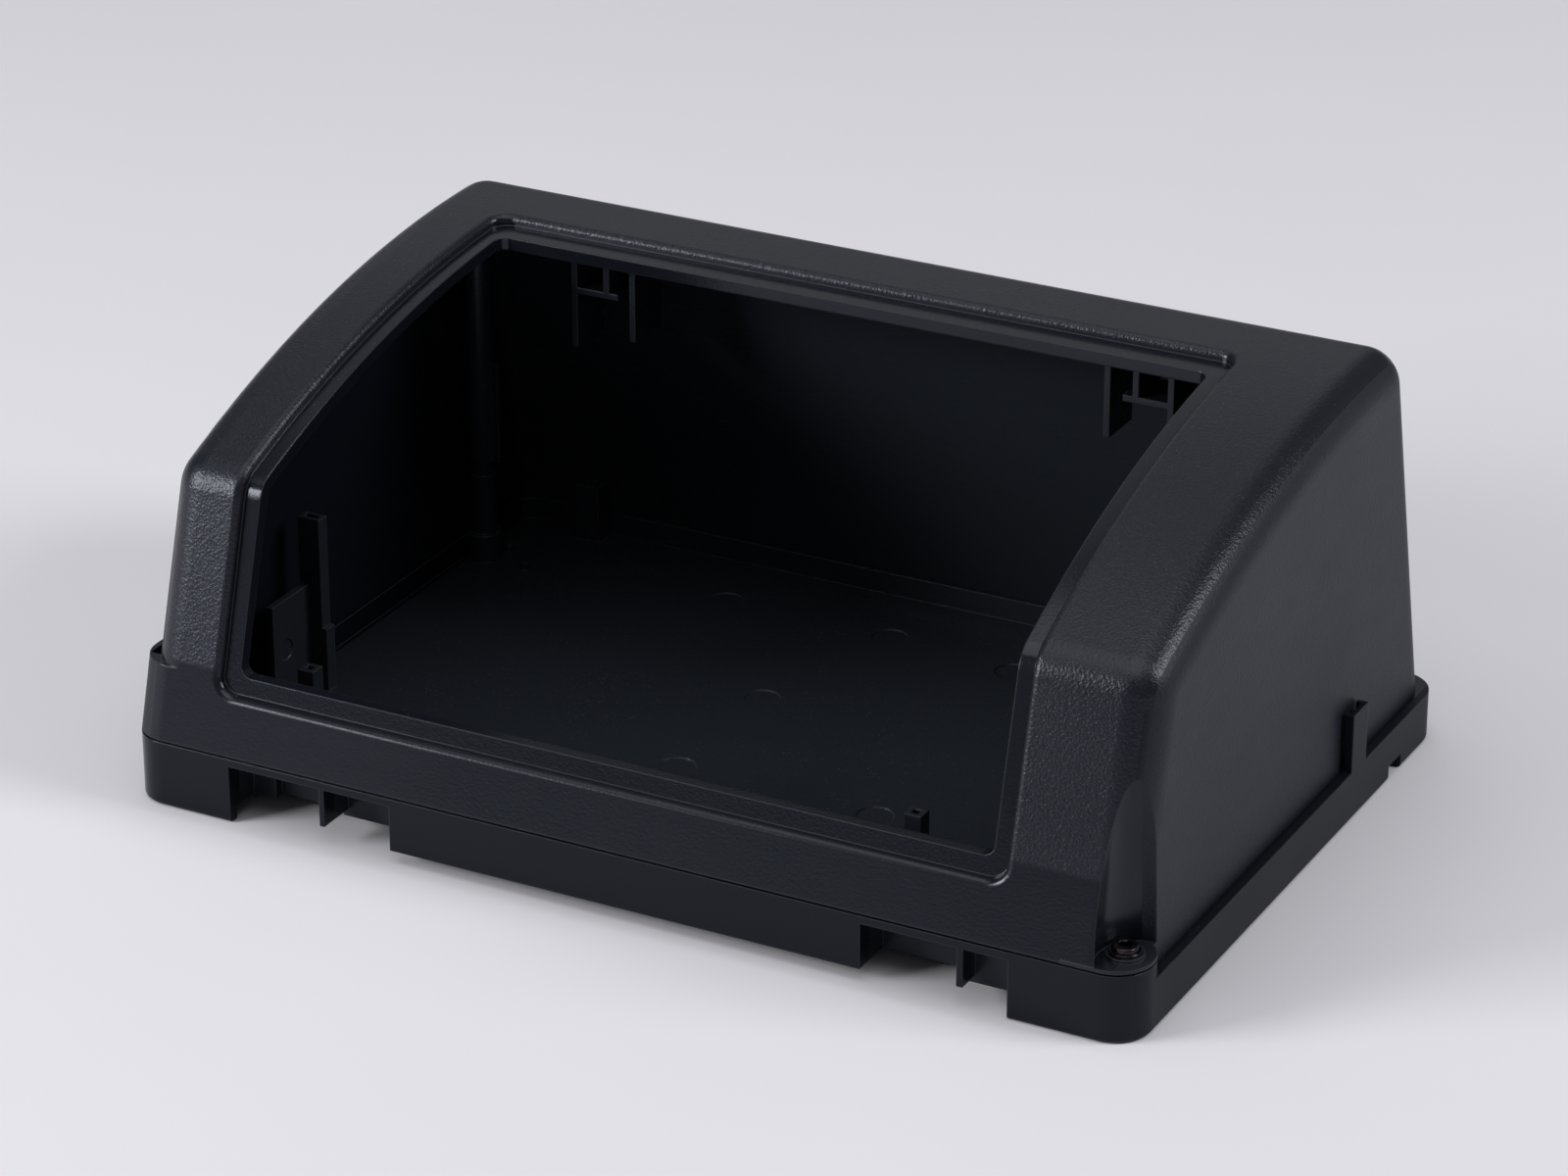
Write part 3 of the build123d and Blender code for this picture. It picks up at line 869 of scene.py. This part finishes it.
    def thread(self, length: float) -> bpy.types.Object:
        """Winds a triangular thread round the core.

        Args:
            length: the shank's length under the head.

        Returns:
            The thread's object.
        """
        bpy.ops.object.select_all(action="DESELECT")
        bpy.ops.mesh.primitive_circle_add(vertices=3, radius=self.pitch / 4.0, fill_type="NOTHING",
                                          rotation=(math.pi / 2.0, 0.0, 0.0))
        ridge = bpy.context.object
        bpy.ops.object.transform_apply(location=True, rotation=True, scale=True)
        root, half = self.core_radius - self.root_sink, self.pitch / 4.0
        profile = ((self.crest_radius, 0.0), (root, half), (root, -half))
        for vertex, (out, up) in zip(ridge.data.vertices, profile):
            vertex.co = (out, 0.0, up)
        turns = int((length - self.plain_neck - self.tip_length) / self.pitch)
        wind = ridge.modifiers.new("wind", "SCREW")
        wind.axis = "Z"
        wind.angle = 2.0 * math.pi
        wind.screw_offset = -self.pitch
        wind.iterations = turns
        wind.steps = self.thread_steps
        wind.render_steps = self.thread_steps
        wind.use_merge_vertices = False
        bpy.context.view_layer.objects.active = ridge
        ridge.select_set(True)
        bpy.ops.object.modifier_apply(modifier=wind.name)
        bpy.ops.object.mode_set(mode="EDIT")
        bpy.ops.mesh.select_mode(type="VERT")
        bpy.ops.mesh.select_all(action="SELECT")
        bpy.ops.transform.translate(value=(0.0, 0.0, -self.plain_neck - self.pitch / 4.0))
        bpy.ops.mesh.select_all(action="DESELECT")
        bpy.ops.mesh.select_non_manifold()
        bpy.ops.mesh.edge_face_add()
        bpy.ops.mesh.select_all(action="SELECT")
        bpy.ops.mesh.normals_make_consistent(inside=False)
        bpy.ops.object.mode_set(mode="OBJECT")
        return ridge


@dataclass(frozen=True)
class ScrewSet:
    """The four screws, with where each one sits, in metres."""

    screw: CapScrew = CapScrew()
    front_x: float = 0.0948
    front_y: float = -0.0622
    rear_x: float = 0.0910
    rear_y: float = 0.0425
    front_seat_z: float = 0.0144
    lug_seat_z: float = 0.0050
    rear_seat_z: float = 0.0036
    front_length: float = 0.011
    lug_length: float = 0.018
    rear_length: float = 0.032

    def build(self, finish: bpy.types.Material) -> None:
        """Builds each screw in its place.

        Args:
            finish: the screws' material.
        """
        up, down = Heading.UP, Heading.DOWN
        rear = (self.rear_y, self.rear_seat_z, self.rear_length, down)
        rows = (
            ("screw_front_right", self.front_x, self.front_y, self.front_seat_z, self.front_length, up),
            ("screw_front_left", -self.front_x, self.front_y, self.lug_seat_z, self.lug_length, down),
            ("screw_rear_right", self.rear_x, *rear),
            ("screw_rear_left", -self.rear_x, *rear),
        )
        for node, x, y, z, length, heading in rows:
            self.screw.build(node, Vector((x, y, z)), length, heading, finish)


# ---------------------------------------------------------------------------
# Studio
# ---------------------------------------------------------------------------


@dataclass(frozen=True)
class PaleSweep:
    """Wide pale floor."""

    name: str = "pale_sweep"
    colour: Colour = (0.70, 0.695, 0.735, 1.0)
    shaded: float = 0.985
    reach: float = 3.0
    mottle_scale: float = 6.0
    mottle_range: tuple[float, float] = (0.3, 0.7)
    roughness: float = 0.9
    gloss_level: float = 0.1

    def build(self, effects: Effects) -> bpy.types.Object:
        """Builds the floor.

        Args:
            effects: the shared groups.

        Returns:
            The floor's object.
        """
        bpy.ops.object.select_all(action="DESELECT")
        bpy.ops.mesh.primitive_plane_add(size=2.0 * self.reach, location=(0.0, 0.0, 0.0))
        floor = bpy.context.object
        floor.name = self.name
        floor.data.materials.append(self.surface(effects))
        return floor

    def surface(self, effects: Effects) -> bpy.types.Material:
        """Builds the floor's matt material.

        Args:
            effects: the shared groups.

        Returns:
            The material.
        """
        material, w = new_material(self.name)
        place = w.node("ShaderNodeTexCoord").outputs["Object"]
        mottle = w.group(effects.mottle.tree, Vector=place, Scale=self.mottle_scale)
        shader = w.node("ShaderNodeBsdfPrincipled")
        shade = w.ramp(mottle.outputs["Cloud"], *self.mottle_range)
        darker = tuple(self.shaded * part for part in self.colour[:3]) + (1.0,)
        w.feed(shader.inputs["Base Color"], w.tint(shade, self.colour, darker))
        shader.inputs["Roughness"].default_value = self.roughness
        shader.inputs["Specular IOR Level"].default_value = self.gloss_level
        w.finish(shader)
        return material


def towards(azimuth: float, elevation: float) -> Vector:
    """Turns an azimuth from the front and an elevation, in degrees, into a direction.

    Args:
        azimuth: degrees from the front, to the housing's right.
        elevation: degrees above the floor.

    Returns:
        The unit vector from the housing.
    """
    a, e = math.radians(azimuth), math.radians(elevation)
    return Vector((math.sin(a) * math.cos(e), -math.cos(a) * math.cos(e), math.sin(e)))


@dataclass(frozen=True)
class Softbox:
    """One large square lamp aimed at the housing, with sizes in metres."""

    name: str
    azimuth: float
    elevation: float
    distance: float
    size: float
    power: float
    aim_z: float = 0.04

    def build(self) -> None:
        """Adds the lamp."""
        back = towards(self.azimuth, self.elevation)
        data = bpy.data.lights.new(self.name, "AREA")
        data.shape = "SQUARE"
        data.size = self.size
        data.energy = self.power
        lamp = bpy.data.objects.new(self.name, data)
        lamp.location = back * self.distance + Vector((0.0, 0.0, self.aim_z))
        lamp.rotation_mode = "QUATERNION"
        lamp.rotation_quaternion = (-back).to_track_quat("-Z", "Y")
        bpy.context.scene.collection.objects.link(lamp)


@dataclass(frozen=True)
class Studio:
    """Floor, lamps, pale surroundings and the camera; angles in degrees, lengths in metres."""

    floor: PaleSweep = PaleSweep()
    lamps: tuple[Softbox, ...] = (
        Softbox("key_left", -46.0, 20.0, 1.5, 0.60, 18.0),
        Softbox("side_right", 106.0, 38.0, 1.6, 0.60, 12.0),
        Softbox("top_soft", -12.0, 79.0, 1.7, 1.7, 14.5),
        Softbox("back_left", -150.0, 35.0, 2.0, 1.6, 2.0),
    )
    surround: Colour = (0.60, 0.60, 0.64, 1.0)
    surround_strength: float = 0.22
    aim: tuple[float, float, float] = (0.0, -0.004, 0.035)
    azimuth: float = 27.758279
    elevation: float = 24.778057
    roll: float = -0.027911
    slide: tuple[float, float, float] = (-0.000124162, -0.001687605, -0.962442049)
    focal_pixels: float = 5426.80327
    image_width: float = 1600.0
    sensor: float = 36.0
    clip_start: float = 0.05
    clip_end: float = 20.0

    def build(self, effects: Effects) -> None:
        """Sets up everything round the housing.

        Args:
            effects: the shared groups.
        """
        self.floor.build(effects)
        for lamp in self.lamps:
            lamp.build()
        self.surround_world()
        self.place_camera()
        bpy.context.scene.view_settings.view_transform = "Standard"

    def surround_world(self) -> None:
        """Even pale light from all round."""
        world = bpy.data.worlds.new("studio_air")
        world.use_nodes = True
        w = Wiring(world.node_tree)
        air = w.node("ShaderNodeBackground")
        air.inputs["Color"].default_value = self.surround
        air.inputs["Strength"].default_value = self.surround_strength
        target = w.node("ShaderNodeOutputWorld")
        w.feed(target.inputs["Surface"], air.outputs[0])
        bpy.context.scene.world = world

    def place_camera(self) -> None:
        """Adds the camera."""
        a, r = math.radians(self.azimuth), math.radians(self.roll)
        back = towards(self.azimuth, self.elevation)
        right = Vector((math.cos(a), math.sin(a), 0.0))
        up = back.cross(right)
        rolled_right = right * math.cos(r) + up * math.sin(r)
        rolled_up = up * math.cos(r) - right * math.sin(r)
        turn = Matrix((rolled_right, rolled_up, back)).transposed()
        data = bpy.data.cameras.new("camera")
        data.sensor_width = self.sensor
        data.sensor_fit = "HORIZONTAL"
        data.lens = self.focal_pixels / self.image_width * self.sensor
        data.clip_start = self.clip_start
        data.clip_end = self.clip_end
        camera = bpy.data.objects.new("camera", data)
        place = Vector(self.aim) - turn @ Vector(self.slide)
        camera.matrix_world = Matrix.Translation(place) @ turn.to_4x4()
        bpy.context.scene.collection.objects.link(camera)
        bpy.context.scene.camera = camera


# ---------------------------------------------------------------------------
# Making
# ---------------------------------------------------------------------------


def clear_defaults(frame: dict) -> None:
    """Removes every object that doesn't belong to the frame."""
    kept = set(frame["nodes"].values()) | set(frame["bodies"].values())
    for thing in list(bpy.data.objects):
        if thing not in kept:
            bpy.data.objects.remove(thing)


def main() -> None:
    """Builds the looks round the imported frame."""
    logging.basicConfig(level=logging.INFO)
    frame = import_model()
    clear_defaults(frame)
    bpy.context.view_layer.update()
    effects = Effects()
    MouldedHalf("upper_cover", COVER_FINISH).build(frame, effects)
    MouldedHalf("base_tray", TRAY_FINISH).build(frame, effects)
    ScrewSet().build(BlackenedSteel().make(effects))
    Studio().build(effects)


if __name__ == "__main__":
    main()
